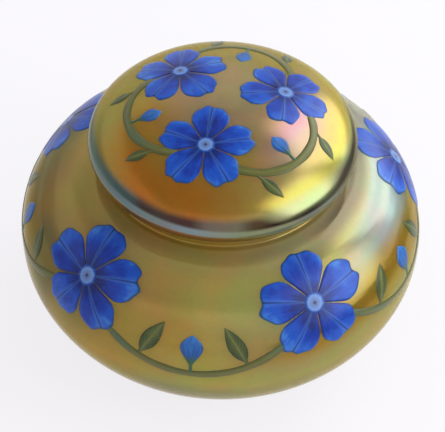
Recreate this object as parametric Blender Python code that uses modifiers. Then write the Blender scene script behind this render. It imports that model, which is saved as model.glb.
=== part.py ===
"""Covered bowl of blown lustre glass with garlands of coloured glass laid on its outside.

Units are metres, +Z is up, and the origin is the centre of the foot on the table.
The bowl and the lid are turned profiles. Each blossom, eye, bud, leaf and vine trail
is a thin sheet of glass that follows the outside of the bowl or the lid.
"""

import math
from dataclasses import dataclass

import bmesh
import bpy
import numpy as np
from mathutils import Matrix, Vector

MM = 0.001

# Clearances
SEAT_GAP = 0.3 * MM
TRAIL_GAP = 0.5 * MM
COLLAR_PLAY = 0.7 * MM

# Bowl: the belly is round up to the turn, where it runs out into a nearly flat shoulder
BELLY_RADIUS = 100 * MM
BELLY_HEIGHT = 57 * MM
BELLY_RISE = 56.7 * MM
BELLY_POWER = 2.35
TURN_INSET = 12 * MM
SHOULDER_RISE = 12.6 * MM
FOOT_RADIUS = 48 * MM
FOOT_ROUND = 4 * MM
LOWER_POWER = 1.9
BOWL_WALL = 5 * MM
BASE_THICKNESS = 9 * MM
INNER_POWER = 2.2
PONTIL_RADIUS = 18 * MM
PONTIL_DEPTH = 1.6 * MM

# Neck and mouth of the bowl
MOUTH_RADIUS = 51 * MM
NECK_RADIUS = MOUTH_RADIUS + BOWL_WALL
NECK_HEIGHT = 8.5 * MM
NECK_FILLET = 2 * MM
LIP_ROUND = 1.5 * MM

# Lid: the dome is widest a little above its seat, and its edge is rounded under from there
LID_WALL = 4 * MM
RIM_WALL = 8 * MM
RIM_OVERHANG = 7.6 * MM
RIM_RADIUS = NECK_RADIUS + RIM_OVERHANG
RIM_ROUND = 6 * MM
DOME_RISE = 24.7 * MM
COLLAR_RADIUS = MOUTH_RADIUS - COLLAR_PLAY
COLLAR_WALL = 4 * MM
COLLAR_DEPTH = 10 * MM

# Coloured glass laid on the outside
LAID_THICKNESS = 0.9 * MM
PETALS = 5
PETAL_NOTCH = 0.5
PETAL_ROUND = 0.55
VINE_WIDTH = 4.2 * MM

# Garland round the shoulder of the bowl
BOWL_BAYS = 5
BOWL_PHASE = math.radians(-133)
BOWL_BLOSSOM_RADIUS = 29 * MM
BOWL_EYE_RADIUS = 5.6 * MM
BOWL_NECK_CLEAR = 3 * MM
BOWL_SWAG_DIP = 27 * MM
BOWL_LEAF_LENGTH = 21 * MM
BOWL_LEAF_WIDTH = 8.5 * MM
BOWL_BUD_LENGTH = 20 * MM
BOWL_BUD_WIDTH = 11 * MM

# Garland round the dome of the lid
LID_BAYS = 3
LID_PHASE = math.radians(-105)
LID_BLOSSOM_RADIUS = 23 * MM
LID_EYE_RADIUS = 4.8 * MM
LID_BLOSSOM_CLEAR = 3 * MM
LID_SWAG_DIP = 17 * MM
LID_LEAF_LENGTH = 13 * MM
LID_LEAF_WIDTH = 5.6 * MM
LID_BUD_LENGTH = 14 * MM
LID_BUD_WIDTH = 8 * MM

# How far the hand strays from one bay of a garland to the next, and by how much it tells
STRAY = (0.4, -0.7, 0.9, -0.3, -0.9)
STRAY_PETAL = 0.04
STRAY_TWIST = math.radians(9)
STRAY_DIP = 0.06
STRAY_LEAF = 0.08

# Round steps of the turned pieces
TURN_STEPS = 48


def clear_scene():
    for item in list(bpy.data.objects):
        bpy.data.objects.remove(item, do_unlink=True)


def glass(name, colour, metallic, roughness):
    material = bpy.data.materials.new(name)
    material.use_nodes = True
    shader = material.node_tree.nodes["Principled BSDF"]
    shader.inputs["Base Color"].default_value = (*colour, 1.0)
    shader.inputs["Metallic"].default_value = metallic
    shader.inputs["Roughness"].default_value = roughness
    return material


def link(name, mesh, material, parent):
    piece = bpy.data.objects.new(name, mesh)
    mesh.materials.append(material)
    collection.objects.link(piece)
    piece.parent = parent
    return piece


# Profiles: rows of (radius, height)

def arch(radius, rise, power, start, end, count):
    """Part of a superellipse quarter, from the angle start to the angle end."""
    angles = np.linspace(start, end, count)
    across = radius * np.clip(np.cos(angles), 0, 1) ** (2 / power)
    up = rise * np.clip(np.sin(angles), 0, 1) ** (2 / power)
    return np.column_stack([across, up])


def arch_angle(ratio, power):
    """Angle at which the superellipse quarter is ratio times its radius wide."""
    return math.acos(ratio ** (power / 2))


def arch_rise(ratio, power):
    """Height there, as a share of the full rise."""
    return math.sin(arch_angle(ratio, power)) ** (2 / power)


def bend(start, corner, end, count):
    """Rounded corner between two points."""
    t = np.linspace(0, 1, count)[:, None]
    start, corner, end = (np.array(point) for point in (start, corner, end))
    return (1 - t) ** 2 * start + 2 * t * (1 - t) * corner + t ** 2 * end


def turn_height(radius, rise):
    """Height of the belly's round at its turn, over the widest place."""
    return rise * arch_rise((radius - TURN_INSET) / radius, BELLY_POWER)


def shoulder_line(radius, rise, root, count):
    """Side from the root of the shoulder, flat at first, over the turn to the widest place."""
    share = (radius - TURN_INSET) / radius
    side = arch(radius, rise, BELLY_POWER, arch_angle(share, BELLY_POWER), 0, count)
    side[:, 1] = BELLY_HEIGHT + side[:, 1]
    fall = share ** (BELLY_POWER - 1) * (1 - share ** BELLY_POWER) ** (1 / BELLY_POWER - 1)
    corner = radius - TURN_INSET - (root[1] - side[0][1]) / (rise / radius * fall)
    return np.vstack([bend(root, (corner, root[1]), side[0], count)[:-1], side])


SHOULDER_HEIGHT = BELLY_HEIGHT + turn_height(BELLY_RADIUS, BELLY_RISE) + SHOULDER_RISE
LIP_HEIGHT = SHOULDER_HEIGHT + NECK_HEIGHT
LID_SEAT = LIP_HEIGHT + SEAT_GAP
DOME_BASE = LID_SEAT + RIM_ROUND


def bowl_shoulder(count):
    """Outer side from the neck fillet down to the belly."""
    root = (NECK_RADIUS + NECK_FILLET, SHOULDER_HEIGHT)
    return shoulder_line(BELLY_RADIUS, BELLY_RISE, root, count)


def bowl_lower(count):
    """Outer side from the belly down to the rounding of the foot."""
    rounding = (FOOT_RADIUS + FOOT_ROUND) / BELLY_RADIUS
    drop = BELLY_HEIGHT / arch_rise(FOOT_RADIUS / BELLY_RADIUS, LOWER_POWER)
    lower = arch(BELLY_RADIUS, drop, LOWER_POWER, 0, arch_angle(rounding, LOWER_POWER), count)
    lower[:, 1] = BELLY_HEIGHT - lower[:, 1]
    return lower


def bowl_inside():
    """Inner side from the middle of the floor up to the mouth."""
    radius = BELLY_RADIUS - BOWL_WALL
    floor = arch(radius, BELLY_HEIGHT - BASE_THICKNESS, INNER_POWER, math.pi / 2, 0, 8)
    floor[:, 1] = BELLY_HEIGHT - floor[:, 1]
    mouth = (MOUTH_RADIUS, SHOULDER_HEIGHT - BOWL_WALL)
    upper = shoulder_line(radius, BELLY_RISE - BOWL_WALL, mouth, 5)[::-1]
    return np.vstack([floor, upper[1:]])


def bowl_profile():
    outside = np.vstack([bowl_shoulder(6), bowl_lower(8)[1:]])
    lip_side = LIP_HEIGHT - LIP_ROUND
    inner_round = bend((MOUTH_RADIUS, lip_side), (MOUTH_RADIUS, LIP_HEIGHT),
                       (MOUTH_RADIUS + LIP_ROUND, LIP_HEIGHT), 3)
    outer_round = bend((NECK_RADIUS - LIP_ROUND, LIP_HEIGHT), (NECK_RADIUS, LIP_HEIGHT),
                       (NECK_RADIUS, lip_side), 3)
    fillet = bend((NECK_RADIUS, SHOULDER_HEIGHT + NECK_FILLET / 2),
                  (NECK_RADIUS, SHOULDER_HEIGHT), outside[0], 3)
    foot_round = bend(outside[-1], (FOOT_RADIUS, 0), (FOOT_RADIUS - FOOT_ROUND, 0), 3)
    hollow = bend((PONTIL_RADIUS, 0), (PONTIL_RADIUS / 2, PONTIL_DEPTH), (0, PONTIL_DEPTH), 3)
    return np.vstack([bowl_inside(), inner_round, outer_round, fillet[:-1], outside,
                      foot_round[1:], hollow])


def dome_outside(count):
    """Outer side of the dome from its top down to the widest place."""
    dome = arch(RIM_RADIUS, DOME_RISE, 2, math.pi / 2, 0, count)
    dome[:, 1] = DOME_BASE + dome[:, 1]
    return dome


def lid_profile():
    under = bend((RIM_RADIUS, DOME_BASE), (RIM_RADIUS, LID_SEAT), (RIM_RADIUS - RIM_ROUND, LID_SEAT), 5)
    low = LID_SEAT - COLLAR_DEPTH
    inner = COLLAR_RADIUS - COLLAR_WALL
    edge = COLLAR_WALL / 2
    tip_outer = bend((COLLAR_RADIUS, low + edge), (COLLAR_RADIUS, low), (COLLAR_RADIUS - edge, low), 3)
    tip_inner = bend((inner + edge, low), (inner, low), (inner, low + edge), 3)
    hollow = arch(RIM_RADIUS - RIM_WALL, DOME_RISE - LID_WALL, 2, 0.12, math.pi / 2, 7)
    hollow[:, 1] = DOME_BASE + hollow[:, 1]
    haunch = bend((inner, LID_SEAT), (inner, DOME_BASE), hollow[0], 4)
    return np.vstack([dome_outside(12), under[1:], [(COLLAR_RADIUS, LID_SEAT)], tip_outer,
                      tip_inner[1:], haunch, hollow[1:]])


def turned(name, profile, base, material, parent):
    """Solid of revolution; base is the height of the parent's origin."""
    rows = [(radius, 0, height - base) for radius, height in profile]
    mesh = bpy.data.meshes.new(name)
    mesh.from_pydata(rows, [(i, i + 1) for i in range(len(rows) - 1)], [])
    piece = link(name, mesh, material, parent)
    screw = piece.modifiers.new("Turn", "SCREW")
    screw.steps = TURN_STEPS
    screw.render_steps = TURN_STEPS
    screw.use_merge_vertices = True
    screw.merge_threshold = 0.00001
    screw.use_smooth_shade = False
    return piece


# Laying sheets on the outside of a turned piece

class Outside:
    """Outer side of a turned piece, on which coloured glass is laid."""

    def __init__(self, profile, base, parent):
        self.start = profile[:-1] - (0, base)
        self.step = np.diff(profile, axis=0)
        lengths = np.linalg.norm(self.step, axis=1)
        self.reach = np.concatenate([[0], np.cumsum(lengths)])
        self.normals = np.column_stack([-self.step[:, 1], self.step[:, 0]]) / lengths[:, None]
        self.parent = parent

    def spot(self, way):
        """Point and downhill direction at a distance along the profile."""
        i = int(np.clip(np.searchsorted(self.reach, way) - 1, 0, len(self.step) - 1))
        share = (way - self.reach[i]) / (self.reach[i + 1] - self.reach[i])
        radius, height = self.start[i] + share * self.step[i]
        down = Vector((self.step[i][0], 0, self.step[i][1])).normalized()
        return Vector((radius, 0, height)), down

    def settle(self, point, lift):
        """Nearest point of the outside, lifted along its normal."""
        flat = math.hypot(point.x, point.y)
        away = np.array([flat, point.z]) - self.start
        share = np.clip((away * self.step).sum(1) / (self.step ** 2).sum(1), 0, 1)
        feet = self.start + share[:, None] * self.step
        i = int(np.argmin(((feet - (flat, point.z)) ** 2).sum(1)))
        radius, height = feet[i] + lift * self.normals[i]
        angle = math.atan2(point.y, point.x)
        return Vector((radius * math.cos(angle), radius * math.sin(angle), height))

    def normal(self, point):
        return (self.settle(point, MM) - self.settle(point, 0)).normalized()


def sheet(name, bm, outside, turn, material):
    """Thin sheet of glass, thickened outwards from the faces of bm."""
    middle = next(iter(bm.faces))
    if middle.normal.dot(outside.normal(middle.calc_center_median())) < 0:
        bmesh.ops.reverse_faces(bm, faces=bm.faces)
    mesh = bpy.data.meshes.new(name)
    bm.to_mesh(mesh)
    bm.free()
    piece = link(name, mesh, material, outside.parent)
    piece.rotation_euler.z = turn
    thick = piece.modifiers.new("Thickness", "SOLIDIFY")
    thick.thickness = LAID_THICKNESS
    thick.offset = 1
    return piece


def petal_reach(angle, radius):
    """Outline of a blossom: round petals with a shallow dent at each tip."""
    wave = abs(math.cos(PETALS / 2 * angle)) ** PETAL_ROUND
    tip = (angle * PETALS / (2 * math.pi) + 0.5) % 1 - 0.5
    dent = 0.05 * math.exp(-(tip / 0.1) ** 2)
    return radius * (PETAL_NOTCH + (1 - PETAL_NOTCH) * wave) * (1 - dent)


def ringed(bm, outside, outlines):
    """Faces between outlines of equal length, each settled on the outside."""
    rings = [[bm.verts.new(outside.settle(point, SEAT_GAP)) for point in line] for line in outlines]
    for near, far in zip(rings, rings[1:]):
        for k in range(len(near)):
            m = (k + 1) % len(near)
            bm.faces.new((near[k], far[k], far[m], near[m]))
    return rings


@dataclass
class Petals:
    """Place and size of a five-petalled ring round the hole for an eye."""
    outside: Outside
    way: float
    radius: float
    hole: float
    twist: float

    def line(self, share, count):
        """Points round the ring, from the hole for share 0 to the outline for share 1."""
        centre, down = self.outside.spot(self.way)
        across = Vector((0, 1, 0))
        points = []
        for angle in np.linspace(0, 2 * math.pi, count, endpoint=False):
            far = self.hole + share * (petal_reach(angle, self.radius) - self.hole)
            aim = angle + math.pi / 2 + self.twist
            points.append(centre + far * (math.cos(aim) * across - math.sin(aim) * down))
        return points

    def outline(self, turn):
        """Outline on the glass, turned round the axis."""
        spin = Matrix.Rotation(turn, 3, "Z")
        return np.array([spin @ self.outside.settle(point, SEAT_GAP) for point in self.line(1, 240)])


def blossom(name, petals, turn, material):
    outside = petals.outside
    bm = bmesh.new()
    ringed(bm, outside, [petals.line(share, PETALS * 8) for share in (0, 0.5, 1)])
    bm.normal_update()
    return sheet(name, bm, outside, turn, material)


def pad(name, outside, root, aim, length, width, fullness, turn, material):
    """Leaf or bud that starts at root and points along aim; fullness moves its widest place."""
    side = outside.normal(root).cross(aim).normalized()
    angles = np.linspace(0, 2 * math.pi, 12, endpoint=False)
    outlines = []
    for share in (0.5, 1):
        line = []
        for angle in angles:
            along = 0.5 - 0.5 * math.cos(angle)
            half = width / 2 * math.sin(math.pi * along ** fullness)
            half = share * math.copysign(half, math.sin(angle))
            along = 0.5 + share * (along - 0.5)
            line.append(root + along * length * aim + half * side)
        outlines.append(line)
    bm = bmesh.new()
    rings = ringed(bm, outside, outlines)
    hub = bm.verts.new(outside.settle(root + 0.5 * length * aim, SEAT_GAP))
    for k in range(len(angles)):
        bm.faces.new((hub, rings[0][k], rings[0][(k + 1) % len(angles)]))
    bm.normal_update()
    return sheet(name, bm, outside, turn, material)


def disc(name, outside, way, radius, turn, material):
    centre, down = outside.spot(way)
    across = Vector((0, 1, 0))
    angles = np.linspace(0, 2 * math.pi, 12, endpoint=False)
    bm = bmesh.new()
    hub = bm.verts.new(outside.settle(centre, SEAT_GAP))
    ring = []
    for angle in angles:
        flat = centre + radius * (math.cos(angle) * across - math.sin(angle) * down)
        ring.append(bm.verts.new(outside.settle(flat, SEAT_GAP)))
    for k in range(len(angles)):
        bm.faces.new((hub, ring[k], ring[(k + 1) % len(angles)]))
    bm.normal_update()
    return sheet(name, bm, outside, turn, material)


@dataclass
class Swag:
    """Line of a vine from the blossom at angle 0 to the one at angle bay."""
    outside: Outside
    way: float
    dip: float
    bay: float

    def spot(self, u):
        point, down = self.outside.spot(self.way + 4 * self.dip * u * (1 - u))
        angle = self.bay * u
        return Vector((point.x * math.cos(angle), point.x * math.sin(angle), point.z))

    def ahead(self, u):
        return (self.spot(u + 0.004) - self.spot(u - 0.004)).normalized()

    def upward(self, u):
        """Direction across the vine, on its upper side."""
        return self.outside.normal(self.spot(u)).cross(self.ahead(u)).normalized()

    def edges(self, u):
        """Points across the vine, on the glass."""
        half = self.upward(u) * VINE_WIDTH / 2
        return [self.outside.settle(self.spot(u) + share * half, SEAT_GAP) for share in (-1, 0, 1)]

    def clear(self, end, outline):
        """Place nearest that end up to which the vine is clear of the petals."""
        clear = 0.5
        for u in np.linspace(0.5, end, 241):
            away = np.array(self.edges(u))[:, None] - outline
            if np.linalg.norm(away, axis=2).min() < 2 * TRAIL_GAP:
                break
            clear = u
        return clear

    def root(self, u, side):
        """Where a leaf or bud starts, just above the vine for side 1 and below it for side -1."""
        return self.spot(u) + side * (VINE_WIDTH / 2 + TRAIL_GAP) * self.upward(u)


def vine(name, line, first, last, turn, material):
    bm = bmesh.new()
    rows = []
    for u in np.linspace(first, last, 18):
        rows.append([bm.verts.new(point) for point in line.edges(u)])
    for row, after in zip(rows, rows[1:]):
        for k in range(2):
            bm.faces.new((row[k], after[k], after[k + 1], row[k + 1]))
    bm.normal_update()
    return sheet(name, bm, line.outside, turn, material)


@dataclass
class Garland:
    """Blossoms in a ring, with a vine that hangs from each to the next."""
    name: str
    outside: Outside
    bays: int
    phase: float
    way: float
    blossom: float
    eye: float
    dip: float
    leaf_side: int
    leaf_swing: float
    leaf: tuple
    bud: tuple


def lay_garland(plan):
    """All the coloured glass of one garland."""
    bay = 2 * math.pi / plan.bays
    petals = [Petals(plan.outside, plan.way, plan.blossom * (1 + STRAY_PETAL * STRAY[k % len(STRAY)]),
                     plan.eye + TRAIL_GAP, STRAY_TWIST * STRAY[(k + 2) % len(STRAY)])
              for k in range(plan.bays)]
    for k in range(plan.bays):
        tag = f"{plan.name}_{{}}_{k + 1}"
        turn = plan.phase + bay * k
        stray = STRAY[(k + 2) % len(STRAY)]
        blossom(tag.format("blossom"), petals[k], turn, blue)
        disc(tag.format("eye"), plan.outside, plan.way, plan.eye, turn, pale)
        line = Swag(plan.outside, plan.way, plan.dip * (1 + STRAY_DIP * stray), bay)
        first = line.clear(0, petals[k].outline(0))
        last = line.clear(1, petals[(k + 1) % plan.bays].outline(bay))
        vine(tag.format("vine"), line, first, last, turn, vine_green)
        length = plan.leaf[0] * (1 + STRAY_LEAF * stray)
        for hand, end, forward in (("a", first, 1), ("b", last, -1)):
            u = end + 0.4 * (0.5 - end)
            aim = (forward * math.cos(plan.leaf_swing) * line.ahead(u)
                   + plan.leaf_side * math.sin(plan.leaf_swing) * line.upward(u))
            pad(tag.format("leaf") + hand, plan.outside, line.root(u, plan.leaf_side), aim, length,
                plan.leaf[1], 0.8, turn, leaf_green)
        pad(tag.format("bud"), plan.outside, line.root(0.5, 1), line.upward(0.5), *plan.bud, 1.5,
            turn, bud_blue)


clear_scene()
collection = bpy.data.collections.new("covered_art_glass_bowl")
bpy.context.scene.collection.children.link(collection)

bowl_gold = glass("bowl_lustre", (0.27, 0.21, 0.06), 0.7, 0.25)
lid_gold = glass("lid_lustre", (0.28, 0.17, 0.05), 0.7, 0.25)
blue = glass("blossom_blue", (0.02, 0.09, 0.45), 0.0, 0.2)
pale = glass("eye_pale_blue", (0.25, 0.42, 0.75), 0.0, 0.2)
bud_blue = glass("bud_blue", (0.02, 0.12, 0.35), 0.0, 0.2)
leaf_green = glass("leaf_green", (0.08, 0.13, 0.04), 0.0, 0.25)
vine_green = glass("vine_green", (0.11, 0.13, 0.03), 0.0, 0.25)

# Bowl, standing on the table
bowl_frame = bpy.data.objects.new("bowl_frame", None)
collection.objects.link(bowl_frame)
turned("bowl_body", bowl_profile(), 0, bowl_gold, bowl_frame)

# Lid, lifted along the axis through its seat
lid_frame = bpy.data.objects.new("lid_frame", None)
lid_frame.location.z = LID_SEAT
collection.objects.link(lid_frame)
turned("lid_dome", lid_profile(), LID_SEAT, lid_gold, lid_frame)

# Garland of the bowl: the longest petal stops short of the neck
bowl_skin = Outside(np.vstack([bowl_shoulder(120), bowl_lower(120)[1:]]), 0, bowl_frame)
bowl_way = BOWL_BLOSSOM_RADIUS * (1 + STRAY_PETAL) + BOWL_NECK_CLEAR
lay_garland(Garland("bowl", bowl_skin, BOWL_BAYS, BOWL_PHASE, bowl_way, BOWL_BLOSSOM_RADIUS,
                    BOWL_EYE_RADIUS, BOWL_SWAG_DIP, 1, math.radians(85),
                    (BOWL_LEAF_LENGTH, BOWL_LEAF_WIDTH), (BOWL_BUD_LENGTH, BOWL_BUD_WIDTH)))

# Garland of the lid: the blossoms stand round the top, clear of each other
lid_skin = Outside(dome_outside(120), LID_SEAT, lid_frame)
ring = (LID_BLOSSOM_RADIUS * (1 + STRAY_PETAL) + LID_BLOSSOM_CLEAR / 2) / math.sin(math.pi / LID_BAYS)
lid_way = float(np.interp(ring, lid_skin.start[:, 0], lid_skin.reach[:-1]))
lay_garland(Garland("lid", lid_skin, LID_BAYS, LID_PHASE, lid_way, LID_BLOSSOM_RADIUS,
                    LID_EYE_RADIUS, LID_SWAG_DIP, -1, math.radians(42),
                    (LID_LEAF_LENGTH, LID_LEAF_WIDTH), (LID_BUD_LENGTH, LID_BUD_WIDTH)))
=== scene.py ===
import math
from dataclasses import dataclass

import bmesh
import bpy
import numpy as np
from mathutils import Matrix, Quaternion, Vector


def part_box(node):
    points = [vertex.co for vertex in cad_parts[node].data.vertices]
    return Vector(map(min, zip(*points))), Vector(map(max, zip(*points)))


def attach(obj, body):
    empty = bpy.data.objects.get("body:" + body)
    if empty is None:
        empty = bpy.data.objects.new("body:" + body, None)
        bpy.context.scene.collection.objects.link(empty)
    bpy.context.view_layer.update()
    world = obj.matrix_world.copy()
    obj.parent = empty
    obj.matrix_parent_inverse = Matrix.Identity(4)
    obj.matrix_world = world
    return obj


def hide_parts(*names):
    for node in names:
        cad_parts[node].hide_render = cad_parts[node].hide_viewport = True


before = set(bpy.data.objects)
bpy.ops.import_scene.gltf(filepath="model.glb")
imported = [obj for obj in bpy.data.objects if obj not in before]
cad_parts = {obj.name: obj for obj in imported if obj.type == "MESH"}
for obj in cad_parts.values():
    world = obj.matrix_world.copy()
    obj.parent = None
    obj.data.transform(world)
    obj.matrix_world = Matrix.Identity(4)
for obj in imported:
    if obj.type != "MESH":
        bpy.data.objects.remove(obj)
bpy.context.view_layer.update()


# Bowl: one gather of glass blown into a squat round body with a flat shoulder and a short neck.
# It is lustred with metal fumes while hot; the foot is ground flat round a polished hollow,
# and the lip is rounded in the fire.
MM = 0.001
TURN_STEPS = 176
BELLY_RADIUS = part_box("bowl_body")[1].x
LIP_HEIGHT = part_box("bowl_body")[1].z
BELLY_HEIGHT = 57 * MM
BELLY_RISE = 56.7 * MM
BELLY_POWER = 2.35
TURN_INSET = 12 * MM
FOOT_RADIUS = 48 * MM
FOOT_ROUND = 4 * MM
LOWER_POWER = 1.9
BOWL_WALL = 5 * MM
BASE_THICKNESS = 9 * MM
INNER_POWER = 2.2
PONTIL_RADIUS = 18 * MM
PONTIL_DEPTH = 1.6 * MM
MOUTH_RADIUS = 51 * MM
NECK_RADIUS = MOUTH_RADIUS + BOWL_WALL
NECK_HEIGHT = 8.5 * MM
NECK_FILLET = 2 * MM
LIP_ROUND = 1.5 * MM
SHOULDER_HEIGHT = LIP_HEIGHT - NECK_HEIGHT
SIDE_POINTS = 70
FLOOR_POINTS = 24
INNER_POINTS = 14
LIP_POINTS = 6
NECK_POINTS = 7
FOOT_POINTS = 8
WELD = 0.002 * MM
SHARP_ANGLE = math.radians(50)
GROUND_LOW, GROUND_HIGH = 0.1 * MM, 0.3 * MM
SILVER_BAND = 10 * MM

SMOKY_OLIVE_SHADE = (0.138, 0.128, 0.066)
BROWN_GOLD = (0.270, 0.188, 0.060)
WARM_GOLD = (0.372, 0.272, 0.066)
YELLOW_GOLD = (0.388, 0.326, 0.074)
OLIVE_GOLD = (0.360, 0.316, 0.082)
PALE_OLIVE = (0.310, 0.290, 0.105)
FAR_SIDE_SHADE = (0.125, 0.115, 0.062)
LOW_GREEN_SHADE = (0.155, 0.175, 0.105)
WARM_SILVER = (0.360, 0.365, 0.325)
BLUE_SILVER = (0.285, 0.355, 0.350)
GREY_SILVER = (0.265, 0.300, 0.285)
AMBER_AND_REFLECTION = (0.310, 0.185, 0.016)
NECK_PAINTED_LIGHT_GOLD = (0.510, 0.395, 0.130)
NECK_PAINTED_LIGHT_SILVER = (0.470, 0.425, 0.270)
LID_SHADE_GREY = (0.178, 0.160, 0.118)
ROOT_SHADE_BROWN = (0.360, 0.245, 0.050)
ROOT_SHADE_GREY = (0.300, 0.235, 0.092)
SCRATCHED_GLASS = (0.300, 0.235, 0.120)
BARE_GLASS = (0.420, 0.350, 0.215)


def arch(radius, rise, power, start, end, count):
    """Radius and height along a rounded quarter, from the angle start to the angle end."""
    angles = np.linspace(start, end, count)
    across = radius * np.clip(np.cos(angles), 0, 1) ** (2 / power)
    up = rise * np.clip(np.sin(angles), 0, 1) ** (2 / power)
    return np.column_stack([across, up])


def arch_angle(ratio, power):
    """Angle at which the quarter is ratio times its radius wide."""
    return math.acos(ratio ** (power / 2))


def arch_rise(ratio, power):
    """Height there, as a share of the full rise."""
    return math.sin(arch_angle(ratio, power)) ** (2 / power)


def bend(start, corner, end, count):
    """Rounded corner of a half section."""
    t = np.linspace(0, 1, count)[:, None]
    start, corner, end = (np.array(point) for point in (start, corner, end))
    return (1 - t) ** 2 * start + 2 * t * (1 - t) * corner + t ** 2 * end


def shoulder_line(radius, rise, root, count):
    """Side from the root of the shoulder, flat at first, over the turn to the widest place."""
    share = (radius - TURN_INSET) / radius
    side = arch(radius, rise, BELLY_POWER, arch_angle(share, BELLY_POWER), 0, count) + (0, BELLY_HEIGHT)
    fall = share ** (BELLY_POWER - 1) * (1 - share ** BELLY_POWER) ** (1 / BELLY_POWER - 1)
    corner = radius - TURN_INSET - (root[1] - side[0][1]) / (rise / radius * fall)
    return np.vstack([bend(root, (corner, root[1]), side[0], count)[:-1], side])


def bowl_outside(count):
    """Outside from the root of the neck down to the rounding of the foot."""
    upper = shoulder_line(BELLY_RADIUS, BELLY_RISE, (NECK_RADIUS + NECK_FILLET, SHOULDER_HEIGHT), count)
    rounding = (FOOT_RADIUS + FOOT_ROUND) / BELLY_RADIUS
    drop = BELLY_HEIGHT / arch_rise(FOOT_RADIUS / BELLY_RADIUS, LOWER_POWER)
    lower = arch(BELLY_RADIUS, drop, LOWER_POWER, 0, arch_angle(rounding, LOWER_POWER), count)
    return np.vstack([upper, (lower * (1, -1) + (0, BELLY_HEIGHT))[1:]])


def bowl_inside():
    """Inside from the middle of the floor up to the mouth."""
    radius = BELLY_RADIUS - BOWL_WALL
    floor = arch(radius, BELLY_HEIGHT - BASE_THICKNESS, INNER_POWER, math.pi / 2, 0, FLOOR_POINTS)
    root = (MOUTH_RADIUS, SHOULDER_HEIGHT - BOWL_WALL)
    upper = shoulder_line(radius, BELLY_RISE - BOWL_WALL, root, INNER_POINTS)
    return np.vstack([floor * (1, -1) + (0, BELLY_HEIGHT), upper[::-1][1:]])


def piece(name, bm):
    """Object of that name, smooth but for its real corners."""
    mesh = bpy.data.meshes.new(name)
    for face in bm.faces:
        face.smooth = True
    bm.to_mesh(mesh)
    bm.free()
    mesh.set_sharp_from_angle(angle=SHARP_ANGLE)
    made = bpy.data.objects.new(name, mesh)
    bpy.context.scene.collection.objects.link(made)
    return made


def turned(name, section):
    """Glass turned round the upright axis from its half section."""
    bm = bmesh.new()
    points = [bm.verts.new((radius, 0, height)) for radius, height in section]
    line = [bm.edges.new(pair) for pair in zip(points, points[1:])]
    bmesh.ops.spin(bm, geom=points + line, cent=(0, 0, 0), axis=(0, 0, 1),
                   angle=2 * math.pi, steps=TURN_STEPS, use_merge=True)
    bmesh.ops.remove_doubles(bm, verts=bm.verts, dist=WELD)
    bmesh.ops.recalc_face_normals(bm, faces=bm.faces)
    return piece(name, bm)


class Finish:
    """Material of one surface shader, with the nodes that feed it."""

    def __init__(self, name):
        self.material = bpy.data.materials.new(name)
        self.material.use_nodes = True
        self.tree = self.material.node_tree
        self.shader = self.tree.nodes["Principled BSDF"]

    def set(self, **values):
        for name, value in values.items():
            self.shader.inputs[name.replace("_", " ").title().replace("Ior", "IOR")].default_value = value

    def feed(self, name, socket):
        self.tree.links.new(socket, self.shader.inputs[name])

    def node(self, kind, settings=None, **inputs):
        """Node of that kind; an input given as a socket is linked, and any other is set."""
        made = self.tree.nodes.new("ShaderNode" + kind)
        for key, value in (settings or {}).items():
            setattr(made, key, value)
        for key, value in inputs.items():
            self.plug(made.inputs[int(key[1:]) if key[1:].isdigit() else key.replace("_", " ")], value)
        return made

    def plug(self, socket, value):
        if isinstance(value, bpy.types.NodeSocket):
            self.tree.links.new(value, socket)
        else:
            socket.default_value = value

    def place(self):
        """Place on the piece."""
        return self.node("TexCoord").outputs["Object"]

    def sheet(self):
        """Shares across and along a sheet, from its own UV map."""
        return self.node("SeparateXYZ", Vector=self.node("UVMap").outputs[0]).outputs[:2]

    def point(self, **parts):
        """Place made of parts X, Y and Z."""
        return self.node("CombineXYZ", **parts).outputs[0]

    def math(self, operation, first, second=0.0, third=0.0):
        return self.node("Math", {"operation": operation}, i0=first, i1=second, i2=third).outputs[0]

    def times(self, first, second):
        return self.math("MULTIPLY", first, second)

    def plus(self, first, second):
        return self.math("ADD", first, second)

    def minus(self, first, second):
        return self.math("SUBTRACT", first, second)

    def apart(self, first, second):
        """How far the two values are from each other, either way."""
        return self.math("ABSOLUTE", self.minus(first, second))

    def spread(self, value, low, high, to_low=0.0, to_high=1.0):
        """Value eased from the span low to high into another."""
        made = self.node("MapRange", {"interpolation_type": "SMOOTHSTEP"}, Value=value)
        for socket, end in zip(list(made.inputs)[1:5], (low, high, to_low, to_high)):
            socket.default_value = end
        return made.outputs[0]

    def noise(self, place, scale, detail=2.0, roughness=0.5):
        made = self.node("TexNoise", Vector=place, Scale=scale, Detail=detail, Roughness=roughness)
        return made.outputs[0]

    def ramp(self, factor, *stops):
        """Colour at each place between the stops (place, colour)."""
        made = self.node("ValToRGB", Fac=factor)
        made.color_ramp.interpolation = "EASE"
        steps = made.color_ramp.elements
        while len(steps) < len(stops):
            steps.new(0.5)
        for step, (place, colour) in zip(steps, stops):
            step.position = place
            step.color = (*colour, 1)
        return made.outputs["Color"]

    def mix(self, factor, first, second, blend="MIX"):
        made = self.node("Mix", {"data_type": "RGBA", "blend_type": blend}, i0=factor)
        for socket, value in ((made.inputs[6], first), (made.inputs[7], second)):
            self.plug(socket, (*value, 1) if isinstance(value, tuple) else value)
        return made.outputs[2]


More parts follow.
